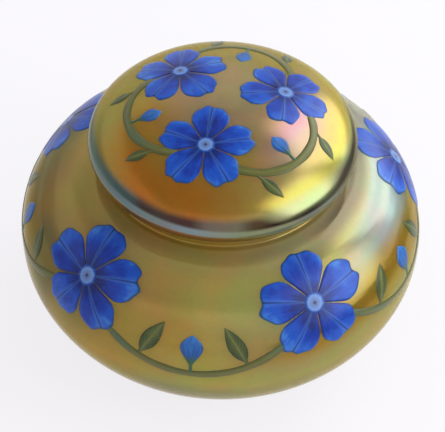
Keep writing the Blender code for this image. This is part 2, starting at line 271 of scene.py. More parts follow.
def lustre(name, hue, rough, film, metal, ripple):
    """Lustred glass: hue gives the colour of the metal film, with painted light and shade in it, and film
    its thinnest and thickest place.
    """
    made = Finish(name)
    place = made.place()
    x, y, z = made.node("SeparateXYZ", Vector=place).outputs
    across = made.math("SQRT", made.plus(made.times(x, x), made.times(y, y)))
    clouds = made.minus(made.noise(place, scale=13.0, detail=2.0, roughness=0.4), 0.5)
    # Soft rings left by the tools as the piece was turned, and the fine grain of the fumed film
    ring_place = made.point(X=made.times(across, 9.0), Y=made.times(z, 9.0), Z=made.times(x, 0.9))
    rings = made.noise(ring_place, scale=13.0, detail=1.0, roughness=0.4)
    grain = made.noise(place, scale=420.0, detail=2.0, roughness=0.6)
    worn = made.plus(made.times(rings, 0.6), made.times(grain, 0.4))
    shade = made.ramp(worn, (0.3, (0.90, 0.90, 0.92)), (0.7, (1.0, 1.0, 1.0)))
    mottle = made.ramp(made.noise(place, scale=62.0, detail=3.0, roughness=0.55),
                       (0.34, (1.06, 0.95, 0.99)), (0.66, (0.93, 1.035, 0.98)))
    film_colour = made.mix(1.0, hue(made, x, y, z, across, clouds), mottle, "MULTIPLY")
    made.feed("Base Color", made.mix(1.0, film_colour, shade, "MULTIPLY"))
    matt = made.spread(z, GROUND_HIGH, GROUND_LOW, 0.0, 0.5)
    made.feed("Roughness", made.math("MAXIMUM", made.spread(worn, 0.3, 0.7, *rough), matt))
    thickness = made.spread(made.noise(place, scale=17.0, detail=1.0), 0.3, 0.7, *film)
    made.feed("Thin Film Thickness", thickness)
    # The rings stand out most on the shoulder, and more on one side than on the other
    tooled = made.times(made.noise(ring_place, scale=22.0, detail=1.0, roughness=0.4),
                        made.spread(z, 60 * MM, 92 * MM, 0.3, 1.0))
    tooled = made.times(tooled, made.spread(x, -60 * MM, 20 * MM, 0.2, 1.0))
    height = made.plus(tooled, made.times(made.noise(place, scale=48.0, detail=1.0), 0.2))
    made.feed("Normal", made.node("Bump", Strength=1.0, Distance=ripple, Height=height).outputs[0])
    made.set(metallic=metal, ior=1.6, thin_film_ior=1.35, specular_tint=(0.80, 0.66, 0.42, 1),
             coat_weight=0.08, coat_roughness=0.08, coat_ior=1.5, subsurface_weight=0.8,
             subsurface_radius=(1.0, 0.65, 0.3), subsurface_scale=16 * MM)
    made.shader.subsurface_method = "BURLEY"
    return made.material


def bowl_hue(made, x, y, z, across, clouds):
    """Brown gold with painted shade on one side, drifting to olive gold, silver on the other shoulder and
    amber below it; painted light and shade round the neck.
    """
    drift = made.plus(made.times(x, 1 / BELLY_RADIUS), clouds)
    # Painted shade: the drift runs darkest, smoky olive, at the far left, on the side away from the windows.
    film = made.ramp(made.spread(drift, -1.0, 1.0), (0.012, SMOKY_OLIVE_SHADE), (0.07, BROWN_GOLD),
                     (0.22, WARM_GOLD), (0.42, YELLOW_GOLD), (0.60, OLIVE_GOLD), (0.85, PALE_OLIVE))
    # Painted shade on the far left of the belly, towards the back.
    far = made.times(made.spread(x, -62 * MM, -80 * MM), made.spread(y, -25 * MM, 5 * MM, 0.0, 0.5))
    film = made.mix(far, film, FAR_SIDE_SHADE)
    wander = made.plus(z, made.times(clouds, 24 * MM))
    # Olive-green film towards the bottom, darker there as painted shade under the belly.
    film = made.mix(made.spread(wander, 62 * MM, 44 * MM, 0.0, 0.75), film, LOW_GREEN_SHADE)
    # Silver-green film on the far shoulder; its bands are partly painted reflection, the rings of light on
    # that shoulder.
    outer = made.plus(x, made.times(made.minus(across, 84 * MM), 1.5))
    silver = made.times(made.spread(outer, 36 * MM, 62 * MM), made.spread(wander, 81 * MM, 90 * MM))
    silver = made.times(silver, made.spread(y, -60 * MM, -35 * MM, 0.4, 1.0))
    banded = made.plus(made.times(across, 1 / SILVER_BAND), made.times(clouds, 1.2))
    silver_and_reflection_bands = made.ramp(made.math("FRACT", banded), (0.00, WARM_SILVER), (0.30, BLUE_SILVER),
                      (0.60, GREY_SILVER), (1.00, WARM_SILVER))
    film = made.mix(silver, film, silver_and_reflection_bands)
    # An amber band below the silver, partly a painted dark reflection where the windows' reflection ends,
    # strongest on the right.
    amber = made.times(made.spread(wander, 91 * MM, 82 * MM),
                       made.spread(wander, 68 * MM, 77 * MM, 0.1, 0.9))
    sides = made.math("MAXIMUM", made.spread(x, 0.0, 55 * MM, 0.3, 1.0),
                      made.spread(x, -50 * MM, -75 * MM, 0.3, 0.45))
    film = made.mix(made.times(amber, sides), film, AMBER_AND_REFLECTION)
    # Painted light round the neck, where the lid shades the shoulder: brighter gold, paler on the right.
    neck = made.ramp(made.spread(x, -20 * MM, 50 * MM), (0.0, NECK_PAINTED_LIGHT_GOLD), (1.0, NECK_PAINTED_LIGHT_SILVER))
    film = made.mix(made.spread(across, 78 * MM, 60 * MM, 0.0, 0.7), film, neck)
    # Painted shade of the lid: a darker grey patch beside the neck, outside only
    lid_shade_patch = made.times(made.spread(across, 73.5 * MM, 66 * MM), made.spread(x, 37 * MM, 58 * MM))
    lid_shade_patch = made.times(lid_shade_patch, made.spread(across, 59 * MM, 63 * MM, 0.3, 1.0))
    lid_shade_patch = made.times(lid_shade_patch, made.spread(z, 96 * MM, 98.5 * MM))
    film = made.mix(lid_shade_patch, film, LID_SHADE_GREY)
    # Painted shade in the crease at the root of the neck, under the lid's edge, brown on one side and grey
    # on the other
    root = made.times(made.spread(made.apart(across, NECK_RADIUS), 3.2 * MM, 1.6 * MM),
                      made.spread(made.apart(z, SHOULDER_HEIGHT), 6 * MM, 3 * MM))
    film = made.mix(root, film, made.ramp(made.spread(x, -20 * MM, 40 * MM),
                                         (0.0, ROOT_SHADE_BROWN), (1.0, ROOT_SHADE_GREY)))
    # The ground ring of the foot is bare pale glass, scratched by the wheel and by use
    wheel_place = made.point(X=made.times(across, 60.0), Y=x, Z=y)
    bare = made.ramp(made.noise(wheel_place, scale=30.0, detail=3.0),
                     (0.35, SCRATCHED_GLASS), (0.65, BARE_GLASS))
    return made.mix(made.spread(z, GROUND_HIGH, GROUND_LOW), film, bare)


bowl_side = bowl_outside(SIDE_POINTS)
lip_side = LIP_HEIGHT - LIP_ROUND
neck_low = SHOULDER_HEIGHT + NECK_FILLET / 2
blown_bowl = turned("blown_bowl", np.vstack([
    bowl_inside(),
    bend((MOUTH_RADIUS, lip_side), (MOUTH_RADIUS, LIP_HEIGHT),
         (MOUTH_RADIUS + LIP_ROUND, LIP_HEIGHT), LIP_POINTS),
    bend((NECK_RADIUS - LIP_ROUND, LIP_HEIGHT), (NECK_RADIUS, LIP_HEIGHT),
         (NECK_RADIUS, lip_side), LIP_POINTS),
    bend((NECK_RADIUS, neck_low), (NECK_RADIUS, SHOULDER_HEIGHT), bowl_side[0], NECK_POINTS)[:-1],
    bowl_side,
    bend(bowl_side[-1], (FOOT_RADIUS, 0), (FOOT_RADIUS - FOOT_ROUND, 0), FOOT_POINTS)[1:],
    bend((PONTIL_RADIUS, 0), (PONTIL_RADIUS / 2, PONTIL_DEPTH), (0, PONTIL_DEPTH), FOOT_POINTS)]))
blown_bowl.data.materials.append(lustre("bowl_gold_lustre", bowl_hue, rough=(0.10, 0.15),
                                        film=(230.0, 330.0), metal=0.34, ripple=0.32 * MM))
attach(blown_bowl, "bowl")
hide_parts("bowl_body")


# Lid: a blown dome of the same lustred glass, widest a little above its seat and rounded under there.
# A collar turned on its underside drops into the mouth and keeps it centred; nothing fixes it.
SEAT_GAP = 0.3 * MM
LID_SEAT = LIP_HEIGHT + SEAT_GAP
LID_WALL = 4 * MM
RIM_WALL = 8 * MM
RIM_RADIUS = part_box("lid_dome")[1].x
RIM_ROUND = 6 * MM
DOME_BASE = LID_SEAT + RIM_ROUND
DOME_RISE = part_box("lid_dome")[1].z - DOME_BASE
DOME_POWER = 2
COLLAR_PLAY = 0.7 * MM
COLLAR_WALL = 4 * MM
COLLAR_DEPTH = 10 * MM
COLLAR_RADIUS = MOUTH_RADIUS - COLLAR_PLAY
COLLAR_INNER = COLLAR_RADIUS - COLLAR_WALL
COLLAR_TIP = 2 * MM
COLLAR_LOW = LID_SEAT - COLLAR_DEPTH
COLLAR_POINTS = 6
RIM_POINTS = 16
HOLLOW_START = 0.12
HOLLOW_POINTS = 24
HOLLOW_BEND_POINTS = 8
EDGE_LEAN = 1.8 * MM
FRONT_RIGHT = (0.643, -0.766)

CROWN_GOLD = (0.340, 0.255, 0.125)
ROSY_CROWN = (0.340, 0.255, 0.130)
LID_OLIVE = ((0.20, CROWN_GOLD), (0.60, (0.340, 0.260, 0.065)), (0.90, (0.290, 0.265, 0.070)))
LID_ORANGE = ((0.20, CROWN_GOLD), (0.62, (0.370, 0.205, 0.032)), (0.86, (0.395, 0.152, 0.012)))
LID_ROSY = ((0.20, ROSY_CROWN), (0.52, (0.400, 0.225, 0.270)), (0.68, (0.410, 0.280, 0.180)),
            (0.80, (0.430, 0.320, 0.105)), (0.88, (0.420, 0.370, 0.075)), (0.95, (0.340, 0.415, 0.205)))
EDGE_DARK_REFLECTION = ((0.02, (0.085, 0.160, 0.160)), (0.08, (0.080, 0.125, 0.120)), (0.14, (0.062, 0.048, 0.032)),
             (0.33, (0.062, 0.035, 0.018)), (0.45, (0.150, 0.138, 0.092)), (0.57, (0.150, 0.145, 0.092)),
             (0.68, (0.060, 0.048, 0.024)), (0.78, (0.026, 0.026, 0.022)), (0.90, (0.028, 0.030, 0.026)),
             (0.96, (0.085, 0.087, 0.070)))
EDGE_SILVER_REFLECTION = ((0.06, (0.150, 0.235, 0.270)), (0.20, (0.185, 0.235, 0.225)), (0.34, (0.190, 0.295, 0.295)),
               (0.53, (0.205, 0.280, 0.205)), (0.65, (0.215, 0.240, 0.145)), (0.82, (0.205, 0.240, 0.140)),
               (0.91, (0.160, 0.185, 0.175)), (0.97, (0.205, 0.230, 0.215)))
SEAT_SHADE_BROWN = (0.210, 0.140, 0.055)


def lid_hue(made, x, y, z, across, clouds):
    """Olive, orange and rosy in turn from one side to the other; along the edge a painted dark reflection, a
    painted silver-blue reflection and painted shade under it.
    """
    drift = made.plus(made.times(x, 0.95 / RIM_RADIUS), made.times(y, -0.25 / RIM_RADIUS))
    drift = made.plus(drift, made.times(clouds, 0.7))
    out = made.plus(made.times(across, 1 / RIM_RADIUS), made.times(clouds, 0.3))
    olive = made.ramp(out, *LID_OLIVE)
    orange = made.ramp(out, *LID_ORANGE)
    rosy = made.ramp(out, *LID_ROSY)
    near = made.plus(made.times(y, 1 / RIM_RADIUS), made.times(clouds, 0.5))
    warm = made.times(made.spread(drift, -0.72, -0.40), made.spread(near, 0.35, -0.15))
    warm = made.times(warm, made.spread(x, 12 * MM, -12 * MM, 0.5, 1.0))
    film = made.mix(warm, olive, orange)
    film = made.mix(made.spread(drift, 0.24, 0.62), film, rosy)
    # Towards the edge a dark reflection is painted, then a silver reflection and, under the edge, brown
    # shade.
    # The dark starts lower at the front right, and all of it sits lower on the right than on the left.
    high = made.minus(z, DOME_BASE)
    ahead = made.plus(made.times(x, FRONT_RIGHT[0]), made.times(y, FRONT_RIGHT[1]))
    dip = made.plus(made.spread(ahead, 55 * MM, 62.5 * MM, 0.0, 3.4 * MM),
                    made.spread(y, -48 * MM, -57 * MM, 0.0, 0.7 * MM))
    up = made.plus(high, made.times(made.plus(x, RIM_RADIUS), EDGE_LEAN / RIM_RADIUS))
    # Painted dark reflection in a band above the rounded edge.
    dark = made.times(made.spread(made.plus(high, dip), 9.8 * MM, 6.4 * MM),
                      made.spread(up, 2.6 * MM, 4.2 * MM))
    side = made.spread(x, -RIM_RADIUS, RIM_RADIUS)
    film = made.mix(dark, film, made.ramp(side, *EDGE_DARK_REFLECTION))
    # Painted shade in brown on the underside of the edge.
    film = made.mix(made.spread(up, 1.6 * MM, 0.0, 0.0, 0.85), film, SEAT_SHADE_BROWN)
    # Painted reflection: a silver-blue band along the top of the rounded edge.
    silver = made.times(made.spread(up, 5.75 * MM, 4.1 * MM), made.spread(up, 0.6 * MM, 2.0 * MM))
    return made.mix(silver, film, made.ramp(side, *EDGE_SILVER_REFLECTION))


def dome(count):
    """Outside of the dome from its top down to its widest place."""
    return arch(RIM_RADIUS, DOME_RISE, DOME_POWER, math.pi / 2, 0, count) + (0, DOME_BASE)


lid_hollow = arch(RIM_RADIUS - RIM_WALL, DOME_RISE - LID_WALL, DOME_POWER,
                  HOLLOW_START, math.pi / 2, HOLLOW_POINTS) + (0, DOME_BASE)
blown_lid = turned("blown_lid", np.vstack([
    dome(SIDE_POINTS),
    bend((RIM_RADIUS, DOME_BASE), (RIM_RADIUS, LID_SEAT),
         (RIM_RADIUS - RIM_ROUND, LID_SEAT), RIM_POINTS)[1:],
    [(COLLAR_RADIUS, LID_SEAT)],
    bend((COLLAR_RADIUS, COLLAR_LOW + COLLAR_TIP), (COLLAR_RADIUS, COLLAR_LOW),
         (COLLAR_RADIUS - COLLAR_TIP, COLLAR_LOW), COLLAR_POINTS),
    bend((COLLAR_INNER + COLLAR_TIP, COLLAR_LOW), (COLLAR_INNER, COLLAR_LOW),
         (COLLAR_INNER, COLLAR_LOW + COLLAR_TIP), COLLAR_POINTS)[1:],
    bend((COLLAR_INNER, LID_SEAT), (COLLAR_INNER, DOME_BASE), lid_hollow[0], HOLLOW_BEND_POINTS),
    lid_hollow[1:]]))
blown_lid.data.materials.append(lustre("lid_gold_lustre", lid_hue, rough=(0.13, 0.17),
                                       film=(240.0, 340.0), metal=0.5, ripple=0.03 * MM))
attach(blown_lid, "lid")
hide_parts("lid_dome")


# Blossoms: five-petalled flowers of blue glass, dropped on hot and pressed into the lustred skin.
# Each petal is a little full, with a groove between it and the next and a faint keel along it.
PETALS = 5
BOWL_PETAL = 29 * MM
LID_PETAL = 23 * MM
PETAL_NOTCH = 0.5
PETAL_ROUND = 0.55
PETAL_RELIEF = 0.4 * MM
PETAL_EDGE = 2.2 * MM
PETAL_START = 0.6
PETAL_COLUMNS = 28
PETAL_ROWS = 20
DENT_DEPTH = 0.06
DENT_WIDTH = 0.09
RUFFLES = ((0.022, 13, 1), (0.016, 22, 0), (0.03, 2, 2))
GROOVE_DEPTH = 0.7
GROOVE_WIDTH = 0.05
KEEL_HEIGHT = 0.18
KEEL_WIDTH = 0.035
LAID_SINK = 0.15 * MM
LAID_BACK = 0.4 * MM
LAID_WELD = 0.01 * MM
LAID_SLIVER = 0.005 * MM
STRAY = (0.4, -0.7, 0.9, -0.3, -0.9)
STRAY_PETAL = 0.04
STRAY_TWIST = math.radians(9)
NECK_CLEAR = 3 * MM
LID_CLEAR = 3 * MM
LID_BAYS = 3
ACROSS = np.array((0.0, 1.0, 0.0))

NIGHT_BLUE = (0.002, 0.012, 0.120)
DEEP_BLUE = (0.003, 0.034, 0.330)
CLEAR_BLUE = (0.005, 0.072, 0.470)
LIGHT_BLUE = (0.045, 0.190, 0.620)
KEEL_BLUE = (0.060, 0.190, 0.600)
KEEL_LINE = (0.003, 0.016, 0.120)
GROOVE_BLUE = (0.003, 0.014, 0.090)
EDGE_TEAL = (0.010, 0.048, 0.085)


class Skin:
    """Outside of a turned piece, given by its half section from the top down."""

    def __init__(self, side):
        self.side = side
        self.reach = np.concatenate([[0], np.cumsum(np.linalg.norm(np.diff(side, axis=0), axis=1))])
        along = np.gradient(side, self.reach, axis=0)
        self.along = along / np.linalg.norm(along, axis=1)[:, None]
        self.out = np.column_stack([-self.along[:, 1], self.along[:, 0]])
        self.turn = np.gradient(self.out, self.reach, axis=0)

    def spot(self, way, angle):
        """Points that far down the skin and that far round it."""
        radius = np.interp(way, self.reach, self.side[:, 0])
        height = np.interp(way, self.reach, self.side[:, 1])
        return np.column_stack([radius * np.cos(angle), radius * np.sin(angle), height])

    def downhill(self, way):
        """Direction down the skin there, at angle 0."""
        step = [np.interp(way, self.reach, self.along[:, k]) for k in (0, 1)]
        return np.array((step[0], 0, step[1]))

    def settle(self, points, lift):
        """Those points set down on the skin and then lifted off it."""
        angle = np.arctan2(points[:, 1], points[:, 0])
        flat = np.column_stack([np.hypot(points[:, 0], points[:, 1]), points[:, 2]])
        near = np.linalg.norm(flat[:, None] - self.side, axis=2).argmin(1)
        slide = ((flat - self.side[near]) * self.along[near]).sum(1)[:, None]
        out = self.out[near] + slide * self.turn[near]
        foot = self.side[near] + slide * self.along[near] + np.reshape(lift, (-1, 1)) * out
        return np.column_stack([foot[:, 0] * np.cos(angle), foot[:, 0] * np.sin(angle), foot[:, 1]])

    def normal(self, points):
        return self.settle(points, 1) - self.settle(points, 0)


@dataclass
class Garland:
    """Ring of blossoms on one turned piece, with a vine that hangs from each to the next."""
    body: str
    skin: Skin
    bays: int
    phase: float
    way: float
    blossom: float
    eye: float
    dip: float
    leaf: tuple
    leaf_side: int
    leaf_swing: float
    bud: tuple

    def bay(self):
        return 2 * math.pi / self.bays

    def stray(self, k):
        return STRAY[(k + 2) % len(STRAY)]

    def petal(self, k):
        """Length of the petals of one blossom."""
        return self.blossom * (1 + STRAY_PETAL * STRAY[k % self.bays])

    def round_blossom(self, k, far, angle):
        """Points far from the middle of a blossom, at an angle from the tip of its first petal."""
        aim = (angle + math.pi / 2 + STRAY_TWIST * self.stray(k % self.bays))[:, None]
        flat = np.cos(aim) * ACROSS - np.sin(aim) * self.skin.downhill(self.way)
        return self.skin.spot(self.way, 0) + far[:, None] * flat


bowl_skin = Skin(bowl_outside(240))
lid_skin = Skin(dome(360))
lid_ring = (LID_PETAL * (1 + STRAY_PETAL) + LID_CLEAR / 2) / math.sin(math.pi / LID_BAYS)
garlands = (
    Garland(body="bowl", skin=bowl_skin, bays=5, phase=math.radians(-133),
            way=BOWL_PETAL * (1 + STRAY_PETAL) + NECK_CLEAR, blossom=BOWL_PETAL, eye=5.6 * MM,
            dip=27 * MM, leaf=(21 * MM, 8.5 * MM), leaf_side=1, leaf_swing=math.radians(85),
            bud=(20 * MM, 11 * MM)),
    Garland(body="lid", skin=lid_skin, bays=LID_BAYS, phase=math.radians(-105),
            way=np.interp(lid_ring, lid_skin.side[:, 0], lid_skin.reach), blossom=LID_PETAL, eye=4.8 * MM,
            dip=17 * MM, leaf=(13 * MM, 5.6 * MM), leaf_side=-1, leaf_swing=math.radians(42),
            bud=(14 * MM, 8 * MM)))


def petal_reach(angle, radius):
    """Outline of a blossom: round petals with a shallow dent at each tip and a slightly ruffled edge."""
    wave = np.abs(np.cos(PETALS / 2 * angle)) ** PETAL_ROUND
    tip = (angle * PETALS / (2 * math.pi) + 0.5) % 1 - 0.5
    ruffle = sum(size * np.sin(count * angle + start) for size, count, start in RUFFLES)
    dent = 1 - DENT_DEPTH * np.exp(-(tip / DENT_WIDTH) ** 2)
    return radius * (PETAL_NOTCH + (1 - PETAL_NOTCH) * wave) * dent * (1 + ruffle * wave)


def laid_glass(kind, plan, tag, shape, columns, rows, glass):
    """Sheet of glass on a skin: shape turns the shares round and along it into places and lift."""
    bm = bmesh.new()
    bm.loops.layers.uv.new("sheet")
    bmesh.ops.create_grid(bm, x_segments=columns, y_segments=rows, size=0.5, calc_uvs=True)
    grid = np.array([vert.co.xy for vert in bm.verts]) + 0.5
    points, lift = shape(grid[:, 0], grid[:, 1])
    for vert, place in zip(bm.verts, plan.skin.settle(points, lift)):
        vert.co = place
    bmesh.ops.remove_doubles(bm, verts=bm.verts, dist=LAID_WELD)
    bmesh.ops.dissolve_degenerate(bm, edges=bm.edges, dist=LAID_SLIVER)
    bm.normal_update()
    middle = np.array([face.calc_center_median() for face in bm.faces])
    facing = np.array([face.normal for face in bm.faces])
    if (facing * plan.skin.normal(middle)).sum() < 0:
        bmesh.ops.reverse_faces(bm, faces=bm.faces)
    bmesh.ops.solidify(bm, geom=bm.faces, thickness=LAID_BACK)
    number = int(tag.rstrip("ab"))
    bmesh.ops.rotate(bm, verts=bm.verts, cent=(0, 0, 0),
                     matrix=Matrix.Rotation(plan.phase + plan.bay() * (number - 1), 3, "Z"))
    made = piece(f"{kind}_{plan.body}_{tag}", bm)
    made.data.materials.append(glass.material)
    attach(made, plan.body)
    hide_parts(f"{plan.body}_{kind}_{tag}")
    return made


def edge_round(inside, width):
    """Height of a rounded edge, from 0 at the edge to 1 where the sheet is full."""
    return np.sqrt(1 - (1 - np.clip(inside / width, 0, 1)) ** 2)


def cased(name):
    """Coloured glass under a clear glossy surface."""
    made = Finish(name)
    made.set(roughness=0.3, specular_ior_level=0.25, coat_weight=0.1, coat_roughness=0.08)
    return made


petal_blue = cased("petal_blue_glass")
round_place, out_place = petal_blue.sheet()
petal_turn = petal_blue.times(round_place, PETALS)
off_keel = petal_blue.apart(petal_blue.math("FRACT", petal_blue.plus(petal_turn, 0.5)), 0.5)
streak_place = petal_blue.point(X=petal_blue.times(petal_turn, 3.0), Y=petal_blue.times(out_place, 0.8))
streaks = petal_blue.noise(streak_place, scale=5.0, detail=4.0, roughness=0.6)
clouds = petal_blue.noise(petal_blue.place(), scale=85.0, detail=2.5)
swirl = petal_blue.plus(petal_blue.times(clouds, 0.7), petal_blue.times(streaks, 0.3))
petal_colour = petal_blue.ramp(petal_blue.plus(petal_blue.times(out_place, 0.32), swirl),
                               (0.44, NIGHT_BLUE), (0.60, DEEP_BLUE), (0.76, CLEAR_BLUE), (0.96, LIGHT_BLUE))
root = petal_blue.plus(out_place, petal_blue.times(streaks, 0.4))
petal_colour = petal_blue.mix(petal_blue.spread(root, 0.62, 0.32, 0.0, 0.75), petal_colour, NIGHT_BLUE)
petal_colour = petal_blue.mix(petal_blue.spread(off_keel, 0.11, 0.0, 0.0, 0.4), petal_colour, KEEL_BLUE)
petal_colour = petal_blue.mix(petal_blue.spread(off_keel, 0.022, 0.006, 0.0, 0.8), petal_colour, KEEL_LINE)
petal_colour = petal_blue.mix(petal_blue.spread(off_keel, 0.38, 0.5, 0.0, 0.9), petal_colour, GROOVE_BLUE)
edge = petal_blue.plus(out_place, petal_blue.times(petal_blue.minus(clouds, 0.5), 0.1))
petal_colour = petal_blue.mix(petal_blue.spread(edge, 0.90, 0.985, 0.0, 0.92), petal_colour, EDGE_TEAL)
petal_blue.feed("Base Color", petal_colour)

for plan in garlands:
    for k in range(plan.bays):
        def petals(around, out):
            angle = 2 * math.pi * around
            hole = PETAL_START * plan.eye
            length = petal_reach(angle, plan.petal(k)) - hole
            off = np.abs((PETALS * around + 0.5) % 1 - 0.5)
            groove = 1 - GROOVE_DEPTH * np.exp(-((0.5 - off) / GROOVE_WIDTH) ** 2)
            full = edge_round((1 - out) * length, PETAL_EDGE) * groove
            keel = KEEL_HEIGHT * np.exp(-(off / KEEL_WIDTH) ** 2) * np.sin(math.pi * out)
            lift = PETAL_RELIEF * (full + keel) - LAID_SINK
            return plan.round_blossom(k, hole + out * length, angle), lift
        blossom = laid_glass("blossom", plan, str(k + 1), petals,
                             PETALS * PETAL_COLUMNS, PETAL_ROWS, petal_blue)


# Eyes: a drop of pale glass pressed flat over the place where the petals meet.
# Its edge is drawn out thin over the petals, and a dark dot marks its middle.
EYE_RELIEF = 0.55 * MM
EYE_EDGE = 0.25
EYE_COLUMNS = 40
EYE_ROWS = 8
EYE_DOT = (0.012, 0.026, 0.100)
EYE_GREY = (0.120, 0.190, 0.420)
EYE_PALE = (0.130, 0.270, 0.620)
EYE_RIM = (0.010, 0.060, 0.320)

eye_pale = cased("eye_pale_glass")
round_place, out_place = eye_pale.sheet()
ray_place = eye_pale.point(X=eye_pale.times(round_place, 18.0), Y=eye_pale.times(out_place, 0.7))
rays = eye_pale.noise(ray_place, scale=2.2, detail=3.0, roughness=0.6)
eye_colour = eye_pale.ramp(eye_pale.plus(out_place, eye_pale.times(rays, 0.5)),
                           (0.28, EYE_DOT), (0.50, EYE_GREY), (0.85, EYE_PALE), (1.0, EYE_RIM))
eye_pale.feed("Base Color", eye_colour)

for plan in garlands:
    for k in range(plan.bays):
        def drop(around, out):
            lift = PETAL_RELIEF + (EYE_RELIEF - PETAL_RELIEF) * (1 - out ** 2)
            lift = lift * edge_round(1 - out, EYE_EDGE) - LAID_SINK
            return plan.round_blossom(k, out * plan.eye, 2 * math.pi * around), lift
        eye = laid_glass("eye", plan, str(k + 1), drop, EYE_COLUMNS, EYE_ROWS, eye_pale)


# Vines: trails of green glass drawn out from a hot rod, from under one blossom to under the next.
# They lie half sunk in the skin, as a low round cord that runs out thin at both ends.
VINE_WIDTH = 4.2 * MM
VINE_RELIEF = 0.5 * MM
VINE_LAP = 3.5 * MM
VINE_TAPER = 0.12
VINE_END = 0.8
VINE_WAVER = 0.06
VINE_WAVES = 23
VINE_COLUMNS = 10
VINE_ROWS = 96
STRAY_DIP = 0.06
SWAG_STEP = 0.004
SWAG_POINTS = 801
VINE_RIDGE_HIGHLIGHT = (0.150, 0.150, 0.040)
VINE_MID = (0.105, 0.112, 0.024)
VINE_DARK = (0.044, 0.054, 0.012)
VINE_EDGE = (0.018, 0.026, 0.008)
VINE_COOL = (0.060, 0.125, 0.085)


@dataclass
class Swag:
    """Line of the vine in one bay of a garland."""
    plan: Garland
    k: int

    def spot(self, u):
        dip = self.plan.dip * (1 + STRAY_DIP * self.plan.stray(self.k))
        return self.plan.skin.spot(self.plan.way + 4 * dip * u * (1 - u), self.plan.bay() * u)

    def ahead(self, u):
        step = self.spot(u + SWAG_STEP) - self.spot(u - SWAG_STEP)
        return step / np.linalg.norm(step, axis=1)[:, None]

    def upward(self, u):
        """Direction across the vine, on its upper side."""
        return np.cross(self.plan.skin.normal(self.spot(u)), self.ahead(u))

    def ends(self):
        """Places where the vine goes under the petals of its two blossoms."""
        u = np.linspace(0, 1, SWAG_POINTS)
        found = []
        for number, turn in ((self.k, 0), (self.k + 1, self.plan.bay())):
            spin = np.array(Matrix.Rotation(-turn, 3, "Z"))
            away = self.spot(u) @ spin.T - self.plan.skin.spot(self.plan.way, 0)
            beside, above = away @ ACROSS, -(away @ self.plan.skin.downhill(self.plan.way))
            twist = STRAY_TWIST * self.plan.stray(number % self.plan.bays)
            angle = np.arctan2(above, beside) - math.pi / 2 - twist
            reach = petal_reach(angle, self.plan.petal(number % self.plan.bays))
            found.append(u[np.hypot(beside, above) < reach - VINE_LAP])
        return found[0].max(), found[1].min()


vine_green = cased("vine_green_glass")
wide_place, long_place = vine_green.sheet()
off_middle = vine_green.apart(wide_place, 0.5)
drawn = vine_green.point(X=vine_green.times(wide_place, 6.0), Y=vine_green.times(long_place, 9.0))
lines = vine_green.noise(drawn, scale=1.4, detail=3.0, roughness=0.6)
# Painted highlight and shade: the trail is lighter along its ridge and darker towards its sides, with a dark
# outline at the edge.
vine_colour = vine_green.ramp(vine_green.plus(off_middle, vine_green.times(lines, 0.35)),
                              (0.12, VINE_RIDGE_HIGHLIGHT), (0.35, VINE_MID), (0.60, VINE_DARK), (0.74, VINE_EDGE))
cool = vine_green.noise(vine_green.place(), scale=28.0, detail=1.0)
vine_colour = vine_green.mix(vine_green.spread(cool, 0.5, 0.68, 0.0, 0.6), vine_colour, VINE_COOL)
vine_green.feed("Base Color", vine_colour)

for plan in garlands:
    for k in range(plan.bays):
        swag = Swag(plan, k)
        first, last = swag.ends()

        def trail(across, along):
            u = first + along * (last - first)
            side = np.sin(math.pi * (across - 0.5))
            thin = edge_round(np.minimum(along, 1 - along), VINE_TAPER)
            width = VINE_WIDTH * (VINE_END + (1 - VINE_END) * thin)
            width = width * (1 + VINE_WAVER * np.sin(VINE_WAVES * along + 3 * k))
            lift = VINE_RELIEF * thin * np.cos(math.pi * (across - 0.5)) - LAID_SINK
            return swag.spot(u) + (side * width / 2)[:, None] * swag.upward(u), lift
        vine = laid_glass("vine", plan, str(k + 1), trail, VINE_COLUMNS, VINE_ROWS, vine_green)


# Leaves: flat drops of green glass pulled to a point with a pick, two on each vine.
# A pressed midrib runs from the stalk, which is melted onto the vine, to the tip.
LEAF_RELIEF = 0.45 * MM
LEAF_STALK = 0.9 * MM
LEAF_GAP = 0.5 * MM
LEAF_EDGE = 1.6 * MM
LEAF_PLACE = 0.4
LEAF_FULLNESS = 0.8
LEAF_BLADE = 0.75
RIB_WIDTH = 0.06
LEAF_COLUMNS = 20
LEAF_ROWS = 40
STRAY_LEAF = 0.08
LEAF_LIGHT = (0.100, 0.118, 0.028)
LEAF_MID = (0.048, 0.072, 0.020)
LEAF_DARK = (0.016, 0.028, 0.010)
VEIN_GREEN = (0.145, 0.165, 0.050)
RIB_GREEN = (0.165, 0.180, 0.060)


def drop_outline(swag, u, aim, side, size, fullness):
    """Places of a pulled drop that starts at the vine and points along aim."""
    start = np.array([u])
    length, width = size
    upward, ahead = swag.upward(start), swag.ahead(start)
    point = math.cos(aim[0]) * aim[1] * ahead + math.sin(aim[0]) * side * upward
    beside = np.cross(swag.plan.skin.normal(swag.spot(start)), point)
    root = swag.spot(start) + side * (VINE_WIDTH / 2 + LEAF_GAP) * upward

    def shape(across, along):
        reach = along * (length + VINE_WIDTH / 2) - VINE_WIDTH / 2
        share = np.clip(reach / length, 0, 1)
        half = np.maximum(width / 2 * np.sin(math.pi * share ** fullness), LEAF_STALK * (1 - share))
        inside = half * (1 - np.abs(2 * across - 1))
        places = root + reach[:, None] * point + (half * (2 * across - 1))[:, None] * beside
        return places, inside, share
    return shape


